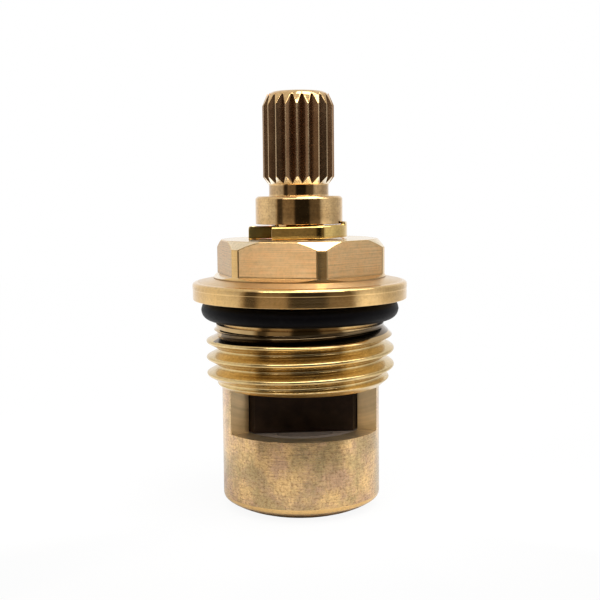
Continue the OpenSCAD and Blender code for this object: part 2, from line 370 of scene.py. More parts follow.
def stretch(tree, value, low, high, to_low, to_high):
    """Value moved from one range to another and kept inside it."""
    made = node(tree, "ShaderNodeMapRange", i0=value, i1=low, i2=high, i3=to_low, i4=to_high)
    return made.outputs[0]


def blend(tree, factor, a, b, kind="MIX"):
    """Output colour of two colours mixed by a factor; each is an output or a plain red, green and blue."""
    a, b = ((*colour, 1) if isinstance(colour, tuple) else colour for colour in (a, b))
    settings = {"data_type": "RGBA", "blend_type": kind}
    return node(tree, "ShaderNodeMix", settings, i0=factor, i6=a, i7=b).outputs[2]


def combined(tree, **parts):
    """Vector made of up to three outputs, i0 to i2."""
    return node(tree, "ShaderNodeCombineXYZ", **parts).outputs[0]


def round_coordinates(tree):
    """Place in millimetres, distance from the axis, height and turn round the axis."""
    place = node(tree, "ShaderNodeTexCoord").outputs["Object"]
    scaled = vector_maths(tree, "SCALE", i0=place, Scale=1 / MM)
    parts = node(tree, "ShaderNodeSeparateXYZ", i0=scaled)
    x, y, z = parts.outputs
    flat = combined(tree, i0=x, i1=y)
    radius = vector_maths(tree, "LENGTH", i0=flat)
    turn = maths(tree, "ARCTAN2", y, x)
    return scaled, radius, z, turn


def noise(tree, vector, scale, detail, roughness):
    """Output of a noise texture."""
    made = node(tree, "ShaderNodeTexNoise", Vector=vector, Scale=scale, Detail=detail,
                Roughness=roughness)
    return made.outputs[0]


def bumped(tree, shader, height, strength=1.0, distance=1.0):
    """Gives a shader a fine relief, of a distance in millimetres."""
    bump = node(tree, "ShaderNodeBump", Strength=strength, Distance=distance * MM, Height=height)
    feed(tree, shader, {"Normal": bump.outputs[0]})


def tool_path(tree, cutter, level):
    """Place, and coordinates for tool lines: round a cutter's middle, level on flats, or round the axis."""
    place, radius, height, turn = round_coordinates(tree)
    slow_turn = maths(tree, "MULTIPLY", turn, TOOL_LINE_CHANGE)
    if cutter:
        reach = vector_maths(tree, "DISTANCE", i0=place, i1=cutter)
        return place, combined(tree, i0=reach, i2=slow_turn)
    if level:
        return place, combined(tree, i1=height, i2=slow_turn)
    return place, combined(tree, i0=radius, i1=height, i2=slow_turn)


def brass(name, colour, tint, roughness, lines, line_depth, line_shade=0.1, mottle=0.0, cutter=None,
          level=False, spread=0.0):
    """Bright brass with a cloudy tint, tool lines and, where asked, dull spots."""
    made, tree, shader = new_material("brass_" + name)
    place, along = tool_path(tree, cutter, level)
    tool = noise(tree, along, scale=lines, detail=2.0, roughness=0.7)
    cloud = noise(tree, place, scale=0.45, detail=4.0, roughness=0.6)
    grain = noise(tree, place, scale=9.0, detail=2.0, roughness=0.6)
    mixed = blend(tree, stretch(tree, cloud, 0.35, 0.65, 0.0, 1.0), colour, tint)
    mixed = darkened(tree, mixed, stretch(tree, tool, 0.3, 0.7, 1 - line_shade, 1 + 0.4 * line_shade))
    if mottle:
        spots = noise(tree, place, scale=3.2, detail=4.0, roughness=0.7)
        mixed = darkened(tree, mixed, stretch(tree, spots, 0.42, 0.68, 1.0, 1 - mottle))
    metal(tree, shader, spread)
    uneven = maths(tree, "ADD", tool, maths(tree, "MULTIPLY", grain, 0.4))
    feed(tree, shader, {"Base Color": mixed, "Roughness": stretch(tree, uneven, 0.45, 0.95, *roughness)})
    bumped(tree, shader, maths(tree, "MULTIPLY", tool, line_depth))
    return made


def metal(tree, shader, spread):
    """Makes a shader metal whose gloss tool lines round the axis spread up and down."""
    ring_way = node(tree, "ShaderNodeTangent", {"direction_type": "RADIAL", "axis": "Z"})
    feed(tree, shader, {"Metallic": 1.0, "Anisotropic": spread, "Anisotropic Rotation": QUARTER_TURN,
                        "Tangent": ring_way.outputs[0]})


def darkened(tree, colour, share):
    """Colour times a brightness share."""
    grey = node(tree, "ShaderNodeCombineColor", i0=share, i1=share, i2=share).outputs[0]
    return blend(tree, 1.0, colour, grey, "MULTIPLY")


def moved(tree, vector, by):
    """Vector with a fixed step added, so that two noises on it differ."""
    return vector_maths(tree, "ADD", i0=vector, i1=by)


def unrolled(tree, across, up):
    """Coordinates on the unrolled barrel: the turn and the height, each times a length."""
    _, _, height, turn = round_coordinates(tree)
    return combined(tree, i0=maths(tree, "MULTIPLY", turn, across), i1=maths(tree, "MULTIPLY", height, up))


def worn_brass(name, colour, pink, olive, dark, roughness):
    """Dull handled brass: pink and olive patches, streaks round the axis and small dark specks."""
    made, tree, shader = new_material("brass_" + name)
    flat = unrolled(tree, BARREL_R, 1.0)
    patch = noise(tree, moved(tree, flat, (3.0, 1.0, 0.0)), scale=0.3, detail=6.0, roughness=0.68)
    other = noise(tree, moved(tree, flat, (17.0, 5.0, 3.0)), scale=0.26, detail=6.0, roughness=0.66)
    speck = noise(tree, flat, scale=3.8, detail=4.0, roughness=0.75)
    lines = noise(tree, unrolled(tree, 3.0, 3.4), scale=1.8, detail=4.0, roughness=0.72)
    smears = noise(tree, unrolled(tree, 2.4 * BARREL_R, 0.7), scale=1.1, detail=4.0, roughness=0.65)
    mixed = blend(tree, stretch(tree, patch, 0.42, 0.58, 0.0, 1.0), colour, pink)
    mixed = blend(tree, stretch(tree, other, 0.46, 0.6, 0.0, 0.85), mixed, olive)
    mixed = blend(tree, stretch(tree, speck, 0.48, 0.7, 0.0, 0.95), mixed, dark)
    mixed = darkened(tree, mixed, stretch(tree, lines, 0.32, 0.66, 0.76, 1.12))
    mixed = darkened(tree, mixed, stretch(tree, smears, 0.36, 0.64, 0.84, 1.08))
    metal(tree, shader, spread=0.6)
    uneven = maths(tree, "ADD", lines, patch)
    feed(tree, shader, {"Base Color": mixed, "Roughness": stretch(tree, uneven, 0.75, 1.25, *roughness)})
    line_relief = maths(tree, "MULTIPLY", lines, 0.01)
    speck_relief = maths(tree, "MULTIPLY", speck, 0.008)
    bumped(tree, shader, maths(tree, "ADD", line_relief, speck_relief))
    return made


def rubber(name, colour, roughness, gloss):
    """Black rubber with a fine moulded grain and a little dust."""
    made, tree, shader = new_material(name)
    place, _, _, _ = round_coordinates(tree)
    grain = noise(tree, place, scale=6.0, detail=3.0, roughness=0.6)
    dust = noise(tree, place, scale=1.2, detail=5.0, roughness=0.7)
    pale = tuple(c * 2.2 + 0.001 for c in colour)
    mixed = blend(tree, stretch(tree, dust, 0.5, 0.75, 0.0, 0.7), colour, pale)
    uneven = stretch(tree, grain, 0.3, 0.7, roughness - 0.06, roughness + 0.08)
    feed(tree, shader, {"Base Color": mixed, "Roughness": uneven, "Specular IOR Level": gloss})
    bumped(tree, shader, grain, strength=0.25, distance=0.05)
    return made


def ceramic(name, colour, cloud_colour, roughness, gloss):
    """Lapped ceramic with faint clouds and a fine grain."""
    made, tree, shader = new_material(name)
    place, _, _, _ = round_coordinates(tree)
    cloud = noise(tree, place, scale=0.6, detail=5.0, roughness=0.6)
    grain = noise(tree, place, scale=14.0, detail=2.0, roughness=0.6)
    mixed = blend(tree, stretch(tree, cloud, 0.35, 0.7, 0.0, 1.0), colour, cloud_colour)
    uneven = stretch(tree, grain, 0.3, 0.7, roughness, roughness + 0.12)
    feed(tree, shader, {"Base Color": mixed, "Roughness": uneven, "Specular IOR Level": gloss})
    bumped(tree, shader, grain, strength=0.2, distance=0.02)
    return made


def plastic(name, colour):
    """Moulded acetal with faint flow clouds."""
    made, tree, shader = new_material(name)
    place, _, _, _ = round_coordinates(tree)
    cloud = noise(tree, place, scale=0.8, detail=3.0, roughness=0.5)
    darker = tuple(c * 0.86 for c in colour)
    uneven = stretch(tree, cloud, 0.3, 0.7, 0.32, 0.45)
    feed(tree, shader, {"Base Color": blend(tree, cloud, colour, darker), "Roughness": uneven})
    return made


brass_turned = brass("turned", GOLD, GOLD_TINT, (0.1, 0.2), lines=9.0, line_depth=0.0016,
                     mottle=0.2, spread=0.6)
brass_rim = brass("rim", GOLD, GOLD_TINT, (0.14, 0.24), lines=9.0, line_depth=0.002, mottle=0.2, spread=0.8)
brass_cone = brass("cone", (0.80, 0.57, 0.30), (0.75, 0.51, 0.25), (0.28, 0.4), lines=7.0,
                   line_depth=0.003, mottle=0.15, spread=0.85)
# Paler brass for the hexagon's chamfer, top face and foot ledge, which face upwards: painted highlight.
brass_face_painted_highlight = brass("face", (0.93, 0.77, 0.53), (0.90, 0.72, 0.47), (0.16, 0.26), lines=9.0,
                   line_depth=0.002, mottle=0.15, spread=0.6)
# Salmon flats: the milled brass's pink tint, brightened as painted light from above.
brass_hex_tint_and_painted_light = brass("hex", (0.97, 0.62, 0.30), (0.97, 0.68, 0.36), (0.46, 0.56), lines=9.0,
                  line_depth=0.004, line_shade=0.28, mottle=0.15, level=True, spread=1.0)
brass_corner = brass("corner", GOLD, GOLD_TINT, (0.17, 0.27), lines=9.0, line_depth=0.002, spread=0.7)
# Dark brass at the hexagon's edges and in its foot groove: painted shade.
brass_hex_edge_painted_shade = brass("hex_edge", (0.46, 0.30, 0.14), (0.40, 0.25, 0.11), (0.3, 0.4), lines=5.0,
                       line_depth=0.004)
brass_thread = brass("thread", (0.74, 0.54, 0.25), (0.68, 0.48, 0.20), (0.13, 0.25), lines=14.0,
                     line_depth=0.0012, mottle=0.25)
# Darker brass for the neck under the ring: painted shade from the ring above.
brass_neck_painted_shade = brass("neck", (0.58, 0.40, 0.19), (0.51, 0.34, 0.15), (0.04, 0.1), lines=14.0, line_depth=0.001)
# Near-black brass for the thread's last groove: painted shade for the ring's dark reflection.
brass_groove_painted_shade = brass("groove", (0.16, 0.11, 0.055), (0.12, 0.08, 0.04), (0.1, 0.2), lines=14.0,
                     line_depth=0.001)
brass_barrel = worn_brass("barrel", (0.86, 0.57, 0.26), (0.63, 0.41, 0.25), (0.50, 0.37, 0.18),
                          (0.26, 0.14, 0.06), (0.16, 0.36))
brass_cut = brass("cut", (0.80, 0.63, 0.40), (0.70, 0.55, 0.34), (0.35, 0.5), lines=3.6,
                  line_depth=0.012, line_shade=0.22, cutter=CUTTER_MIDDLE)
# Darker brass for the bore and chamber: painted shade inside the body.
brass_inside_painted_shade = brass("inside", (0.50, 0.36, 0.18), (0.42, 0.29, 0.14), (0.3, 0.45), lines=6.0,
                     line_depth=0.006)
brass_stem = brass("stem", (0.81, 0.54, 0.25), (0.75, 0.47, 0.20), (0.06, 0.13), lines=11.0,
                   line_depth=0.0014, mottle=0.3, spread=0.6)
# Darker brass for the spindle's neck below the spline: painted shade.
brass_stem_neck_painted_shade = brass("stem_neck", (0.60, 0.40, 0.20), (0.54, 0.34, 0.16), (0.06, 0.13), lines=11.0,
                        line_depth=0.0014, mottle=0.3, spread=0.6)
# Dark brass for the spline's flanks and a lighter one for its tooth tips: painted shade between the teeth,
# painted highlight on the tips.
brass_spline_painted_shade = brass("spline", (0.42, 0.25, 0.13), (0.34, 0.19, 0.10), (0.24, 0.3), lines=5.0,
                     line_depth=0.001)
brass_tip_painted_highlight = brass("tip", (0.62, 0.45, 0.27), (0.56, 0.40, 0.23), (0.32, 0.42), lines=7.0, line_depth=0.002)
# Near-white brass for the spline's lower cone: a painted highlight standing for the lit collar it mirrors.
brass_bevel_painted_highlight = brass("bevel", (0.97, 0.90, 0.74), (0.95, 0.86, 0.68), (0.2, 0.3), lines=11.0, line_depth=0.001)
brass_clip = brass("clip", (0.83, 0.58, 0.20), (0.77, 0.51, 0.16), (0.05, 0.12), lines=5.0,
                   line_depth=0.002, mottle=0.2)
# Dark brass for the clip's two end faces: painted shade.
brass_clip_end_painted_shade = brass("clip_end", (0.27, 0.22, 0.085), (0.23, 0.18, 0.065), (0.28, 0.38), lines=5.0,
                       line_depth=0.003)
ring_rubber = rubber("ring_rubber", (0.0018, 0.0015, 0.0020), 0.45, 0.06)
seal_rubber = rubber("seal_rubber", (0.010, 0.010, 0.010), 0.5, 0.3)
dark_ceramic = ceramic("dark_ceramic", (0.011, 0.0055, 0.003), (0.024, 0.013, 0.0075), 0.4, 0.1)
grey_ceramic = ceramic("grey_ceramic", (0.20, 0.16, 0.13), (0.14, 0.11, 0.085), 0.35, 0.3)
acetal = plastic("acetal", (0.78, 0.76, 0.70))


# Valve body

def thread_radius(angle, z):
    """Radius of the pipe thread's surface at an angle and height."""
    from_crest = (z - CREST_HEIGHT - PITCH * angle / 360 + PITCH / 2) % PITCH - PITCH / 2
    u = abs(from_crest)
    bend_end = THREAD_ROUND * math.cos(FLANK_ANGLE)
    if u < bend_end:
        depth = THREAD_ROUND - math.sqrt(THREAD_ROUND ** 2 - u ** 2)
    elif u > PITCH / 2 - bend_end:
        v = PITCH / 2 - u
        depth = THREAD_DEPTH - THREAD_ROUND + math.sqrt(THREAD_ROUND ** 2 - v ** 2)
    else:
        depth = THREAD_ROUND * (1 - math.sin(FLANK_ANGLE)) + (u - bend_end) / math.tan(FLANK_ANGLE)
    return thread_r - depth


thread_end = mounts["inlet_thread"]["pos_m"][2] / MM + mounts["inlet_thread"]["dims"]["length_mm"] / 2
groove_start = ring_low.z - NECK_BELOW_RING
key_angle = math.degrees(math.asin(KEY_HALF_WIDTH / KEY_R))


def thread_heights():
    """Heights of the thread's rows, closer together where the thread starts and ends."""
    made = [WINDOW_TOP]
    while made[-1] < groove_start - THREAD_END_ROW / 2:
        at_end = made[-1] < WINDOW_TOP + LEAD_IN * LEAD_IN_SLOPE or made[-1] > thread_end
        made.append(made[-1] + (THREAD_END_ROW if at_end else THREAD_ROW))
    made[-1] = groove_start
    return made


def thread_surface(angle, z):
    """Radius of the thread with its chamfered start and its run-out to the neck."""
    lead_in = thread_r - LEAD_IN + (z - WINDOW_TOP) / LEAD_IN_SLOPE
    run_out = max(NECK_R, thread_r + thread_end - z)
    return eased_min(eased_min(thread_radius(angle, z), lead_in, LEAD_IN_EASE), run_out, RUN_OUT_EASE)


def in_painted_groove_shade(angle, z):
    """True in the thread's last groove under the ring, which is painted dark as shade for the ring's dark
    reflection.
    """
    turned = (angle - LAST_GROOVE_START) % 360 + LAST_GROOVE_START
    above_crest = z - CREST_HEIGHT - PITCH * (turned / 360 + 1)
    return LAST_GROOVE_LOW < above_crest < LAST_GROOVE_HIGH


def six_sided(angle, corner_angle, half_flats, corner_r):
    """Distance from the axis to the side of a hexagon with turned corners at an angle."""
    from_flat = (angle - corner_angle) % 60 - 30
    return min(half_flats / math.cos(math.radians(from_flat)), corner_r)


def six_sided_edges(corner_angle, half_flats, corner_r, burr_angle):
    """Angles at which the flats of such a hexagon meet its turned corners, and at which burrs there end."""
    arc = 30 - math.degrees(math.acos(half_flats / corner_r))
    return [(corner_angle + 60 * corner + side * (arc + aside)) % 360
            for corner in range(6) for side in (-1, 1) for aside in (0, burr_angle)]


def lower_end(inner_r):
    """Corners of the barrel's tapered lower end, which a keyway cuts short."""
    made = [(BARREL_R - TAPER_IN * inwards, barrel_bottom + TAPER_H * up) for inwards, up in TAPER_SHARES]
    (r0, z0), (r1, z1) = made[:2]
    if inner_r > r0:
        made[0] = (inner_r, z0 + (z1 - z0) * (inner_r - r0) / (r1 - r0))
    return made


def flange_edge(flange_top):
    """Rounded edge of the flange, up to where its sloping top starts."""
    lip_r = flange_r + FLANGE_LIP_R
    return [
        (lip_r, flange_z + FLANGE_LIP_Z + FLANGE_LIP_SLOPE, 0.03, "turned"),
        (lip_r, flange_top, 0.06, "turned"),
        *((flange_r - inwards * FLANGE_ROUND_IN, flange_top + up * FLANGE_ROUND_H, 0.1, "turned")
          for inwards, up in FLANGE_ROUND_SHARES),
        (flange_r - FLANGE_ROUND_IN, flange_top + FLANGE_ROUND_H, 0.1, "cone"),
    ]


def hex_foot(foot_z, side_r):
    """Foot of the hexagon: a fine groove above the flange, then a ledge that slopes up to the flats; the
    groove and the ledge's top edge are coloured dark as painted shade, and the ledge pale as a painted
    highlight.
    """
    groove_r = HEX_CORNER_R - HEX_RELIEF_IN
    groove_top = foot_z + HEX_RELIEF_H
    flat_z = foot_z + HEX_STEP
    ledge_drop = HEX_RELIEF_SLOPE + HEX_LEDGE_SLOPE * (HEX_CORNER_R - side_r)
    ledge_z = max(flat_z - ledge_drop, groove_top + 2 * HEX_RELIEF_SLOPE)
    return [
        (HEX_CORNER_R + HEX_FOOT_OUT, foot_z, 0, "relief"),
        (groove_r, foot_z + HEX_RELIEF_SLOPE, 0, "relief"),
        (groove_r, groove_top, 0, "relief"),
        (HEX_CORNER_R, groove_top + HEX_RELIEF_SLOPE, 0, "corner"),
        (HEX_CORNER_R, ledge_z, 0, "face"),
        (side_r - 2 * HEX_BURR_IN, flat_z, 0, "hex_edge"),
        (side_r - HEX_BURR_IN, flat_z + HEX_EDGE, 0, "hex"),
    ]


def body_profile(angle):
    """Section of the body at an angle, from its bottom up the outside and back down the bore."""
    from_side = angle_from_line(angle, 0)
    inner_r = KEY_R if from_side < key_angle else CHAMBER_R
    rib_r = RIB_R if from_side < RIB_HALF_ANGLE else CHAMBER_R - SEAT_GAP
    groove_r = max(inner_r, BEAD_GROOVE_R)
    flange_top = flange_z + FLANGE_T
    side_r = six_sided(angle, HEX_CORNER_ANGLE, HEX_HALF_FLATS, HEX_CORNER_R)
    chamfer_r = min(HEX_CHAMFER_R, side_r - HEX_CHAMFER_LEAST)
    foot_z = flange_top + FLANGE_RISE
    end = lower_end(inner_r)
    # Above the thread's end the neck takes the darker brass, a painted shade.
    thread = [(thread_surface(angle, z), z, 0, "thread" if z < thread_end else "neck")
              for z in thread_heights()]
    return [
        (min(inner_r + END_FACE, end[0][0] - END_FACE_LEAST), end[0][1], 0, "turned"),
        (*end[0], 0.06, "barrel"),
        (*end[1], 0.2, "barrel"),
        (*end[2], 0.2, "barrel"),
        (*end[3], 0.35, "barrel"),
        (BARREL_R, floor_z, 0, "window"),
        (BARREL_R, WINDOW_TOP, 0, "turned"),
        *thread,
        (RING_GROOVE_R, groove_start + RING_GROOVE_SLOPE, 0, "groove"),
        (RING_GROOVE_R, flange_z, 0.3, "groove"),
        (flange_r, flange_z, 0.12, "rim"),
        (flange_r, flange_z + FLANGE_LIP_Z, 0.03, "turned"),
        *flange_edge(flange_top),
        *hex_foot(foot_z, side_r),
        # The chamfer and top face take the paler brass, a painted highlight.
        (side_r, hex_top - side_r + chamfer_r, 0.06, "face"),
        (chamfer_r, hex_top, 0.06, "face"),
        (SHAFT_BORE_R + SHAFT_BORE_CHAMFER, hex_top, 0.05, "turned"),
        # The bore and chamber below take the darker brass, a painted shade.
        (SHAFT_BORE_R, hex_top - SHAFT_BORE_CHAMFER, 0.05, "inside"),
        (SHAFT_BORE_R, SHOULDER_Z, 0, "inside"),
        (rib_r, SHOULDER_Z, 0, "inside"),
        (rib_r, WINDOW_TOP + SEAT_GAP, 0, "inside"),
        (CHAMBER_R, WINDOW_TOP, 0, "window_inside"),
        (CHAMBER_R, floor_z, 0, "inside"),
        (inner_r, floor_z - SEAT_GAP, 0, "inside"),
        (inner_r, BEAD_GROOVE_Z + BEAD_GROOVE_H, 0, "inside"),
        (groove_r, BEAD_GROOVE_Z + BEAD_GROOVE_H, 0, "inside"),
        (groove_r, BEAD_GROOVE_Z, 0, "inside"),
        (inner_r, BEAD_GROOVE_Z, 0, "inside"),
        (inner_r, end[0][1] + END_FACE, 0, "turned"),
    ]


def body_angles():
    """Columns of the body: evenly spaced, and more at the edges of hexagon, windows, keyways and ribs."""
    exact = six_sided_edges(HEX_CORNER_ANGLE, HEX_HALF_FLATS, HEX_CORNER_R, HEX_EDGE_ANGLE)
    for side in (0, 180):
        for end in (-1, 1):
            exact.append((90 + side + end * WINDOW_HALF_ANGLE) % 360)
            for aside in (-SIDE_ANGLE, SIDE_ANGLE):
                exact.append((side + end * (key_angle + aside)) % 360)
                exact.append((side + end * (RIB_HALF_ANGLE + aside)) % 360)
    made = [a for a in EVEN_ANGLES if min(angle_between(a, b) for b in exact) > COLUMN_LEAST_ANGLE]
    return sorted(made + exact)


def in_window(angle):
    """True inside one of the two windows, seen from the axis."""
    return angle_from_line(angle, 90) < WINDOW_HALF_ANGLE


def hex_zone(angle, zone):
    """Zone of the hexagon's side at an angle: a turned corner, a dark strip beside it that is painted shade,
    or the flat's own.
    """
    from_corner = angle_between((angle - HEX_CORNER_ANGLE + 30) % 60, 30)
    corner_end = 30 - math.degrees(math.acos(HEX_HALF_FLATS / HEX_CORNER_R))
    if from_corner < corner_end:
        return "corner"
    return "hex_edge" if from_corner < corner_end + HEX_EDGE_ANGLE else zone


def body_zone(zone, angle, z):
    """Zone of a face of the body, from its profile's zone, the angle of its middle and its height."""
    if zone in ("hex", "hex_edge"):
        return hex_zone(angle, zone)
    # Painted shade: the last groove under the ring gets a near-black brass.
    if zone in ("thread", "neck") and in_painted_groove_shade(angle, z):
        return "last_groove_painted_shade"
    return {"window": "barrel", "window_inside": "cut"}.get(zone, zone)


def angle_after(angles, j):
    """Angle half way between a column and the next one."""
    return angles[j] + ((angles[(j + 1) % len(angles)] - angles[j]) % 360) / 2


def body_faces(angles, columns):
    """Faces of the body with their zones, and the edges of the windows cut through the barrel's wall."""
    zones_up = [zone for _, zone in columns[0]]
    count = len(zones_up)
    out_low = zones_up.index("window")
    out_high = out_low + 1
    in_high = zones_up.index("window_inside")
    in_low = in_high + 1
    made = []
    edges = []
    for j in range(len(angles)):
        here = j * count
        there = (j + 1) % len(angles) * count
        middle = angle_after(angles, j)
        open_here = in_window(middle)
        for i in range(count):
            if open_here and i in (out_low, in_high):
                continue
            n = (i + 1) % count
            zone = body_zone(zones_up[i], middle, columns[j][i][0].y)
            made.append(((here + i, there + i, there + n, here + n), zone))
        if open_here:
            for low, high in ((out_low, in_low), (in_high, out_high)):
                made.append(((here + low, there + low, there + high, here + high), "floor"))
            edges += [(here + row, there + row) for row in (out_low, in_low, in_high)]
        if open_here != in_window(angle_after(angles, j - 1)):
            wall = (here + out_low, here + out_high, here + in_high, here + in_low)
            made.append((wall if open_here else wall[::-1], "cut"))
            edges += [wall[:2], (here + in_low, here + in_high)]
    return made, edges


BODY_SLOTS = {
    "turned": brass_turned,
    "groove": brass_turned,
    "rim": brass_rim,
    "cone": brass_cone,
    "face": brass_face_painted_highlight,
    "hex": brass_hex_tint_and_painted_light,
    "hex_edge": brass_hex_edge_painted_shade,
    "relief": brass_hex_edge_painted_shade,
    "corner": brass_corner,
    "thread": brass_thread,
    "neck": brass_neck_painted_shade,
    "last_groove_painted_shade": brass_groove_painted_shade,
    "barrel": brass_barrel,
    "cut": brass_cut,
    "floor": brass_cut,
    "inside": brass_inside_painted_shade,
}


def valve_body():
    """Body with its helical thread and its two windows."""
    angles = body_angles()
    columns = [rounded(body_profile(a)) for a in angles]
    points = [around(a, p) for a, column in zip(angles, columns) for p, _ in column]
    made, edges = body_faces(angles, columns)
    faces = [face for face, _ in made]
    zones = [zone for _, zone in made]
    piece = finished("turned_body", points, faces, zones, BODY_SLOTS, BODY_SHARP_ANGLE)
    soften(piece, [(points[a], points[b]) for a, b in edges], WINDOW_EDGE * MM)
    return piece


def edge_key(a, b):
    """What tells an edge by the places of its two ends."""
    return tuple(sorted(tuple(round(c, PLACE_DIGITS) for c in end) for end in (a, b)))


def soften(piece, places, width):
    """Rounds the body's edges whose two ends are at the given places."""
    edit = bmesh.new()
    edit.from_mesh(piece.data)
    wanted = {edge_key(a, b) for a, b in places}
    chosen = [e for e in edit.edges if edge_key(e.verts[0].co, e.verts[1].co) in wanted]
    bmesh.ops.bevel(edit, geom=chosen, offset=width, segments=2, profile=0.5, affect="EDGES",
                    clamp_overlap=True)
    edit.to_mesh(piece.data)
    edit.free()
    smooth(piece.data, BODY_SHARP_ANGLE)


# Spindle

collar_z = stem_high.z - SPLINE_HEIGHT - COLLAR_HEIGHT
collar_top = collar_z + COLLAR_HEIGHT
clip_z = clip_low.z
plate_z = disc_high.z
lug_r = stem_high.x
lower_ring_z = sum(size_box("lower_spindle_oring"), Vector()).z / 2
upper_ring_z = sum(size_box("upper_spindle_oring"), Vector()).z / 2


def from_tooth(angle):
    """Angle from the middle of the nearest tooth, in degrees."""
    return (angle - SPLINE_TURN + ROOT_ANGLE) % (2 * ROOT_ANGLE) - ROOT_ANGLE


def spline_radius(angle):
    """Radius of the toothed section at an angle: straight flanks between a tooth's tip and the grooves."""
    from_tip = math.radians(abs(from_tooth(angle)))
    root_x = SPLINE_ROOT_R * math.cos(math.radians(ROOT_ANGLE))
    root_y = SPLINE_ROOT_R * math.sin(math.radians(ROOT_ANGLE))
    run = SPLINE_TIP_R - root_x
    flank = SPLINE_TIP_R * root_y / (root_y * math.cos(from_tip) + run * math.sin(from_tip))
    return min(flank, SPLINE_R)


def starts_tip(angle):
    """True for the column at which a tooth's narrow tip starts."""
    return -SPLINE_TIP_SHARE * ROOT_ANGLE < from_tooth(angle) < 0


def spindle_profile(angle):
    """Section of the spindle at an angle, from the middle of its plate up to the bottom of the screw hole."""
    plate_r = lug_r if angle_from_line(angle, LUG_MIDDLE) < LUG_ANGLE / 2 else PLATE_R
    plate_top = plate_z + PLATE_T
    tooth_r = spline_radius(angle)
    # Tips take a lighter brass and flanks a dark one: painted highlight and painted shade.
    tooth_zone = "tip" if starts_tip(angle) else "spline"
    spline_start = collar_top + SPLINE_RUN_IN
    cone = SPLINE_CONE_H / (SPLINE_R - STEM_NECK_R)
    top = stem_high.z
    taper_high = top - SPLINE_TOP_EDGE
    taper = (SPLINE_TAPER_H - SPLINE_TOP_EDGE) / (SPLINE_R - SPLINE_TOP_R)
    groove = []
    for z in (lower_ring_z, upper_ring_z):
        for r, end in ((SHAFT_R, -1), (STEM_GROOVE_R, -1), (STEM_GROOVE_R, 1), (SHAFT_R, 1)):
            groove.append((r, z + end * STEM_GROOVE_H / 2, 0, "stem"))
    return [
        (0, plate_z, 0, "stem"),
        (plate_r, plate_z, 0.1, "stem"),
        (plate_r, plate_top, 0.1, "stem"),
        (SHAFT_R, plate_top, 0, "stem"),
        *groove,
        (SHAFT_R, clip_z - CLIP_GROOVE_BELOW, 0.08, "stem"),
        (CLIP_GROOVE_R, clip_z - CLIP_GROOVE_BELOW, 0.1, "stem"),
        (CLIP_GROOVE_R, collar_z, 0.1, "stem"),
        (SHAFT_R, collar_z, 0.1, "stem"),
        (SHAFT_R, collar_top - COLLAR_CHAMFER, 0.1, "stem"),
        (SHAFT_R - COLLAR_CHAMFER, collar_top, 0.1, "stem"),
        # The neck takes the darker brass, a painted shade.
        (STEM_NECK_R, collar_top, 0.2, "neck"),
        # The spline's lower cone takes the near-white brass, a painted highlight.
        (STEM_NECK_R, spline_start, 0.1, "bevel"),
        (tooth_r, spline_start + (tooth_r - STEM_NECK_R) * cone, 0.06, tooth_zone),
        (tooth_r, taper_high - (tooth_r - SPLINE_TOP_R) * taper, 0.06, "stem"),
        (SPLINE_TOP_R, taper_high, 0.12, "stem"),
        (SPLINE_TOP_R - SPLINE_TOP_BEND_IN, top - SPLINE_TOP_BEND_SHARE * SPLINE_TOP_EDGE, 0.12, "stem"),
        (SPLINE_TOP_R - SPLINE_TOP_FACE_IN, top, 0.1, "stem"),
        (screw_hole_r + SCREW_COUNTERSINK, top, 0.05, "stem"),
        (screw_hole_r, top - SCREW_COUNTERSINK, 0, "stem"),
        (screw_hole_r, top - SCREW_COUNTERSINK - screw_hole_depth, 0, "stem"),
        (0, top - SCREW_COUNTERSINK - screw_hole_depth - screw_hole_r / 2, 0, "stem"),
    ]


def spindle_angles():
    """Columns of the spindle: ten for each tooth, and closer ones beside the edges of the stop lugs."""
    made = set()
    for tooth in range(SPLINE_TEETH):
        for share in SPLINE_COLUMNS:
            made.add(SPLINE_TURN + ROOT_ANGLE * (2 * tooth - share))
            made.add(SPLINE_TURN + ROOT_ANGLE * (2 * tooth + share))
    for side in (0, 180):
        for end in (-1, 1):
            for aside in (-LUG_SIDE_ANGLE, LUG_SIDE_ANGLE):
                made.add(LUG_MIDDLE + side + end * (LUG_ANGLE / 2 + aside))
    return sorted({round(angle % 360, ANGLE_DIGITS) for angle in made})


def spindle():
    """Spindle with its spline, collar, grooves, stop lugs and drive tongue."""
    slots = {"stem": brass_stem, "spline": brass_spline_painted_shade, "tip": brass_tip_painted_highlight, "bevel": brass_bevel_painted_highlight,
             "neck": brass_stem_neck_painted_shade, "turned": brass_stem}
    stem = revolved("splined_spindle", spindle_angles(), spindle_profile, slots, closed=False)
    edit = bmesh.new()
    edit.from_mesh(stem.data)
    tongue_z = plate_z + TONGUE_IN_PLATE - TONGUE_SIZE.z / 2
    place = Matrix.Translation(Vector((0, 0, tongue_z)) * MM)
    bmesh.ops.create_cube(edit, size=1, matrix=place @ Matrix.Diagonal((*(TONGUE_SIZE * MM), 1)))
    edit.to_mesh(stem.data)
    edit.free()
    return stem


# Clip

def two_sided(angle):
    """Distance from the clip's middle to its outside, which is round but for two flats."""
    from_flat = math.radians(angle_from_line(angle, CLIP_FLATS_ANGLE))
    flat_r = CLIP_HALF_FLATS / max(math.cos(from_flat), CLIP_LEAST_COSINE)
    return eased_min(CLIP_R, flat_r, CLIP_FLATS_ROUND)


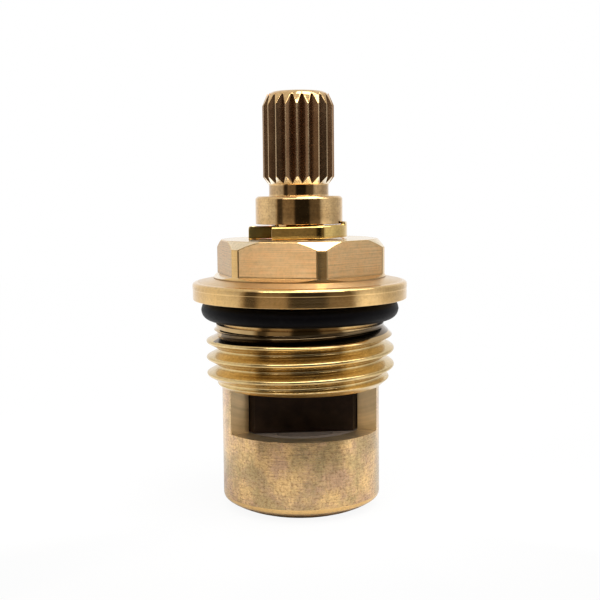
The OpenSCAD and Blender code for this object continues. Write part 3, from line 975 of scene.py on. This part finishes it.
def clip_section(angle, inset):
    """Section of the clip at an angle, drawn in by an inset at its two ends."""
    inner_r = CLIP_GROOVE_R + CLIP_PLAY + CLIP_ASIDE + inset
    outer_r = two_sided(angle) - inset
    ear_r = SHAFT_R + CLIP_PLAY + CLIP_ASIDE
    on_ear = angle_between(angle, CLIP_EAR_MIDDLE) < CLIP_EAR_ANGLE / 2
    low = clip_z + inset
    top = clip_z + CLIP_T - inset
    outer_top = clip_high.z - inset if on_ear else top
    step_r = min(ear_r, outer_r - CLIP_TOP_ROUND - CLIP_TOP_LAND)
    return rounded([
        (inner_r, (low + top) / 2, 0, "clip"),
        (inner_r, low, CLIP_EDGE, "clip"),
        (outer_r, low, CLIP_EDGE, "clip"),
        (outer_r, outer_top, CLIP_TOP_ROUND, "clip"),
        (step_r, outer_top, CLIP_EDGE, "clip"),
        (step_r - CLIP_EAR_SLOPE, top, CLIP_EDGE, "clip"),
        (inner_r, top, CLIP_EDGE, "clip"),
        (inner_r, (low + top) / 2 + CLIP_PLAY, 0, "clip"),
    ], CLIP_ROUND_STEPS)


def clip_columns():
    """Angles and insets of the clip's columns: even ones, more at flats and ear, and two at each end."""
    first = CLIP_GAP_MIDDLE + CLIP_GAP_ANGLE / 2
    last = CLIP_GAP_MIDDLE - CLIP_GAP_ANGLE / 2 + 360
    half_flat = math.degrees(math.acos(CLIP_HALF_FLATS / CLIP_R))
    exact = []
    for end in (-1, 1):
        exact += [CLIP_FLATS_ANGLE + side + end * half_flat for side in (0, 180)]
        for aside in (-CLIP_EAR_SIDE_ANGLE, CLIP_EAR_SIDE_ANGLE):
            exact.append(CLIP_EAR_MIDDLE + end * (CLIP_EAR_ANGLE / 2 + aside))
    exact = [first + (a - first) % 360 for a in exact]
    exact = [a for a in exact if first + 2 * CLIP_END_ANGLE < a < last - 2 * CLIP_END_ANGLE]
    steps = int((last - first) / CLIP_COLUMN_ANGLE)
    even = [first + CLIP_COLUMN_ANGLE * i for i in range(1, steps)]
    angles = sorted(exact + [a for a in even if min(abs(a - b) for b in exact) > CLIP_END_ANGLE])
    angles = [first + CLIP_END_ANGLE, *angles, last - CLIP_END_ANGLE]
    return [(first, CLIP_END_IN), *((a, 0) for a in angles), (last, CLIP_END_IN)]


def clip():
    """Split ring with two flats, its upper edge rounded by stamping, and a raised ear."""
    columns = clip_columns()
    sections = [clip_section(a, inset) for a, inset in columns]
    count = len(sections[0])
    points = [around(a, p) for (a, _), made in zip(columns, sections) for p, _ in made]
    points = [(x - CLIP_ASIDE * MM, y, z + CLIP_TILT * x) for x, y, z in points]
    final = (len(columns) - 1) * count
    faces = [tuple(reversed(range(count))), tuple(range(final, final + count))]
    for j in range(len(columns) - 1):
        for i in range(count):
            n = (i + 1) % count
            faces.append((j * count + i, (j + 1) * count + i, (j + 1) * count + n, j * count + n))
    # The two end faces take the dark brass, a painted shade.
    zones = ["end"] * 2 + ["clip"] * (len(faces) - 2)
    slots = {"clip": brass_clip, "end": brass_clip_end_painted_shade}
    return finished("split_clip", points, faces, zones, slots, CLIP_SHARP_ANGLE)


# Flange ring, seal and its support ring

def flange_ring():
    """Moulded rubber ring with the faint flash of its mould round the outside and inside."""
    section_r = (ring_high.z - ring_low.z) / 2
    middle_r = ring_high.x - section_r
    middle_z = (ring_high.z + ring_low.z) / 2
    corners = []
    for i in range(RING_SECTION_POINTS):
        a = 2 * math.pi * i / RING_SECTION_POINTS
        r = section_r if i % (RING_SECTION_POINTS // 2) == 0 else section_r - RING_FLASH
        corners.append((middle_r + r * math.cos(a), middle_z + r * math.sin(a), 0, "rubber"))
    slots = {"rubber": ring_rubber}
    return revolved("flange_ring", EVEN_ANGLES, lambda angle: corners, slots, True, RING_SHARP_ANGLE)


def plain_ring(name, corners, material):
    """Ring of one material round a section of corners (r, z, reach)."""
    section = [(*corner, "flat") for corner in corners]
    slots = {"flat": material, "turned": material}
    return revolved(name, EVEN_ANGLES, lambda angle: section, slots, True)


def seat_seal():
    """Rubber seal with a bead outside, a foot below and a groove for its ring."""
    foot_r = CHAMBER_R - SEAL_FOOT_IN
    outer_r = CHAMBER_R - SEAL_PLAY
    groove_r = support_high.x + SEAT_GAP
    groove_low = support_low.z - SEAT_GAP
    groove_high = support_high.z + SEAT_GAP
    bead_low = BEAD_GROOVE_Z + SEAL_PLAY
    bead_high = BEAD_GROOVE_Z + BEAD_GROOVE_H - SEAL_PLAY
    corners = [
        (SEAL_LIP_R, groove_low, 0),
        (SEAL_LIP_R, seal_low.z, 0.25),
        (foot_r, seal_low.z, 0.08),
        (outer_r, seal_low.z + SEAL_FOOT_IN, 0.08),
        (outer_r, bead_low, 0.05),
        (seal_high.x, bead_low + BEAD_SLOPE, 0.2),
        (seal_high.x, bead_high - BEAD_SLOPE, 0.2),
        (outer_r, bead_high, 0.05),
        (outer_r, seal_high.z, 0.2),
        (SEAL_MOUTH_R, seal_high.z, 0.2),
        (SUPPORT_BORE_R, groove_high + SEAL_MOUTH_H, 0.1),
        (SUPPORT_BORE_R, groove_high, 0.05),
        (groove_r, groove_high, 0),
        (groove_r, groove_low, 0),
    ]
    return plain_ring("seat_seal_ring", corners, seal_rubber)


def support_ring():
    """Acetal ring inside the seal, with both ends of its bore eased."""
    corners = [
        (support_high.x, support_low.z, 0),
        (support_high.x, support_high.z, 0.05),
        (SUPPORT_BORE_R + SUPPORT_CHAMFER, support_high.z, 0.1),
        (SUPPORT_BORE_R, support_high.z - SUPPORT_CHAMFER, 0.1),
        (SUPPORT_BORE_R, support_low.z + SUPPORT_CHAMFER, 0.1),
        (SUPPORT_BORE_R + SUPPORT_CHAMFER, support_low.z, 0.1),
    ]
    return plain_ring("seal_support", corners, acetal)


def fit(piece, body, node_name):
    """Puts a piece on its body, in place of a solid, which it hides."""
    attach(piece, body)
    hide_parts(node_name)


def dress(node_name, material):
    """Gives a solid that stays in view a finished material."""
    solid = frame["nodes"][node_name]
    solid.data.materials.clear()
    solid.data.materials.append(material)


fit(valve_body(), "body", "valve_body")
fit(spindle(), "spindle_set", "spindle")
fit(clip(), "spindle_set", "retaining_clip")
fit(flange_ring(), "body", "flange_oring")
fit(seat_seal(), "body", "seat_seal")
fit(support_ring(), "body", "seal_support_ring")
dress("moving_disc", dark_ceramic)
dress("fixed_disc", grey_ceramic)
dress("thrust_washer", acetal)
dress("upper_spindle_oring", ring_rubber)
dress("lower_spindle_oring", ring_rubber)


# Stage, light and camera: lengths in millimetres, angles in degrees, and brightness from 0 to 1
CAMERA_TURN = -5.6
CAMERA_DISTANCE = 118
CAMERA_HEIGHT = 35.04
CAMERA_TILT = 5.815
CAMERA_ROLL = -0.53
CAMERA_ASIDE = 0.02
CAMERA_LENS = 63.63
CAMERA_NEAR = 5
SENSOR = 36
LAMP_TARGET = Vector((0, 0, 22))
FLOOR_R = 350
FLOOR_SIDES = 60
FLOOR_GAP = 0.02
SHEET_START = 14
SHEET_END = 55
SHEET_TONE = 0.74
SHADOW_START = 20
SHADOW_END = 70
SHADOW_WHITE = 0.92
FLOOR_WHITE = 0.995
WHITE = (1, 1, 1)
CURTAIN_TINT = (1, 0.82, 0.62)
CURTAIN_BRIGHTEST = 0.4
CEILING = 0.85

# Directions: how far up the walls pass into the ceiling, and how far from the camera is behind the object
CEILING_RISE = (0.35, 0.75)
BEHIND = (-0.9, -0.8)

# Brightness of the tent at angles from the camera, to the left and right
TENT_WALLS = ((-180, 0.95), (-100, 0.95), (-85, 0.78), (-66, 0.62), (-60, 0.3), (-56, 0.06), (-46, 0.06),
              (-40, 0.24), (-15, 0.22), (-10, 0.04), (-7, 0.02), (25, 0.02), (31, 0.12), (55, 0.15),
              (61, 0.55), (68, 0.82), (86, 0.75), (104, 0.55), (125, 0.6), (150, 0.9), (180, 0.95))


def to_camera():
    """Level direction from the axis to the camera."""
    a = math.radians(CAMERA_TURN)
    return Vector((math.sin(a), -math.cos(a), 0))


def camera():
    """Camera where the photograph was taken from."""
    data = bpy.data.cameras.new("camera")
    data.lens = CAMERA_LENS
    data.sensor_width = SENSOR
    data.clip_start = CAMERA_NEAR * MM
    made = bpy.data.objects.new("camera", data)
    bpy.context.scene.collection.objects.link(made)
    turn = Matrix.Rotation(math.radians(CAMERA_TURN), 3, "Z")
    made.location = turn @ Vector((CAMERA_ASIDE, -CAMERA_DISTANCE, CAMERA_HEIGHT)) * MM
    tilt = Matrix.Rotation(math.radians(90 - CAMERA_TILT), 3, "X")
    roll = Matrix.Rotation(math.radians(CAMERA_ROLL), 3, "Z")
    made.rotation_euler = (turn @ tilt @ roll).to_euler()
    bpy.context.scene.camera = made


def part_along(tree, vector, direction):
    """Length of a vector along a direction."""
    return vector_maths(tree, "DOT_PRODUCT", i0=vector, i1=tuple(direction))


def tent_walls(tree, place):
    """Brightness of the tent in a direction: white behind the object, open and dark in front."""
    front = to_camera()
    ahead = part_along(tree, place, front)
    aside = part_along(tree, place, Vector((-front.y, front.x, 0)))
    turn = maths(tree, "ARCTAN2", aside, ahead)
    around_tent = stretch(tree, turn, -math.pi, math.pi, 0.0, 1.0)
    walls = node(tree, "ShaderNodeValToRGB", i0=around_tent)
    stops = walls.color_ramp.elements
    while len(stops) > 1:
        stops.remove(stops[-1])
    for i, (degrees, level) in enumerate(TENT_WALLS):
        stop = stops[0] if i == 0 else stops.new(degrees / 360 + 0.5)
        stop.position = degrees / 360 + 0.5
        tint = CURTAIN_TINT if level < CURTAIN_BRIGHTEST else WHITE
        stop.color = (*(level * share for share in tint), 1)
    return walls.outputs[0]


def shows_white(tree, place):
    """Share of white for a ray: full for the camera, through glass, and mirrored behind the object."""
    path = node(tree, "ShaderNodeLightPath")
    seen = maths(tree, "MAXIMUM", path.outputs["Is Camera Ray"], path.outputs["Is Transmission Ray"])
    level = vector_maths(tree, "NORMALIZE", i0=place)
    behind = stretch(tree, part_along(tree, level, to_camera()), *BEHIND, 1.0, 0.0)
    return maths(tree, "MAXIMUM", seen, maths(tree, "MULTIPLY", path.outputs["Is Glossy Ray"], behind))


def floor():
    """Pale floor that shows white and keeps the object's shadow; farther out its colour is painted with the
    tent's brightness there, a painted shade in front that the metal mirrors.
    """
    mesh = bpy.data.meshes.new("floor")
    corners = [around(360 / FLOOR_SIDES * i, Vector((FLOOR_R, 0))) for i in range(FLOOR_SIDES)]
    mesh.from_pydata(corners, [], [tuple(range(FLOOR_SIDES))])
    made = bpy.data.objects.new("floor", mesh)
    bpy.context.scene.collection.objects.link(made)
    made.location.z = -FLOOR_GAP * MM
    material, tree, shader = new_material("floor")
    place = node(tree, "ShaderNodeTexCoord").outputs["Object"]
    away = vector_maths(tree, "LENGTH", i0=place)
    far = stretch(tree, away, SHEET_START * MM, SHEET_END * MM, 0.0, 1.0)
    # Painted shade: out from the object the floor's colour takes the tent's brightness, dark in front.
    tone = blend(tree, far, (SHEET_TONE, SHEET_TONE, SHEET_TONE), tent_walls(tree, place))
    feed(tree, shader, {"Base Color": tone, "Roughness": 0.8, "Specular IOR Level": 0.0})
    glow = node(tree, "ShaderNodeEmission", Color=(*WHITE, 1), Strength=1.0)
    white = stretch(tree, away, SHADOW_START * MM, SHADOW_END * MM, SHADOW_WHITE, FLOOR_WHITE)
    share = maths(tree, "MULTIPLY", shows_white(tree, place), white)
    mixed = node(tree, "ShaderNodeMixShader", i0=share, i1=shader.outputs[0], i2=glow.outputs[0])
    feed(tree, tree.nodes["Material Output"], {"Surface": mixed.outputs[0]})
    mesh.materials.append(material)


def world():
    """White studio tent whose front is open and dark, with grey curtains beside the opening."""
    made = bpy.data.worlds.new("studio")
    bpy.context.scene.world = made
    made.use_nodes = True
    tree = made.node_tree
    direction = node(tree, "ShaderNodeTexCoord").outputs["Generated"]
    height = node(tree, "ShaderNodeSeparateXYZ", i0=direction).outputs[2]
    above = stretch(tree, height, *CEILING_RISE, 0.0, 1.0)
    tent = blend(tree, above, tent_walls(tree, direction), (CEILING, CEILING, CEILING))
    white = shows_white(tree, direction)
    feed(tree, tree.nodes["Background"], {"Color": blend(tree, white, tent, WHITE)})


def lamp(name, place, width, depth, power):
    """Soft oblong lamp that points at the object."""
    data = bpy.data.lights.new(name, "AREA")
    data.energy = power
    data.shape = "RECTANGLE"
    data.size = width * MM
    data.size_y = depth * MM
    made = bpy.data.objects.new(name, data)
    bpy.context.scene.collection.objects.link(made)
    made.location = Vector(place) * MM
    aim = (LAMP_TARGET - Vector(place)).normalized()
    made.rotation_euler = aim.to_track_quat("-Z", "Y").to_euler()


world()
floor()
camera()
lamp("ceiling_lamp", (40, -10, 190), 100, 100, 0.14)
lamp("front_lamp", (-6, -126, 146), 280, 55, 0.28)
lamp("side_lamp", (122, -40, 146), 90, 55, 0.05)
bpy.context.scene.view_settings.view_transform = "Standard"
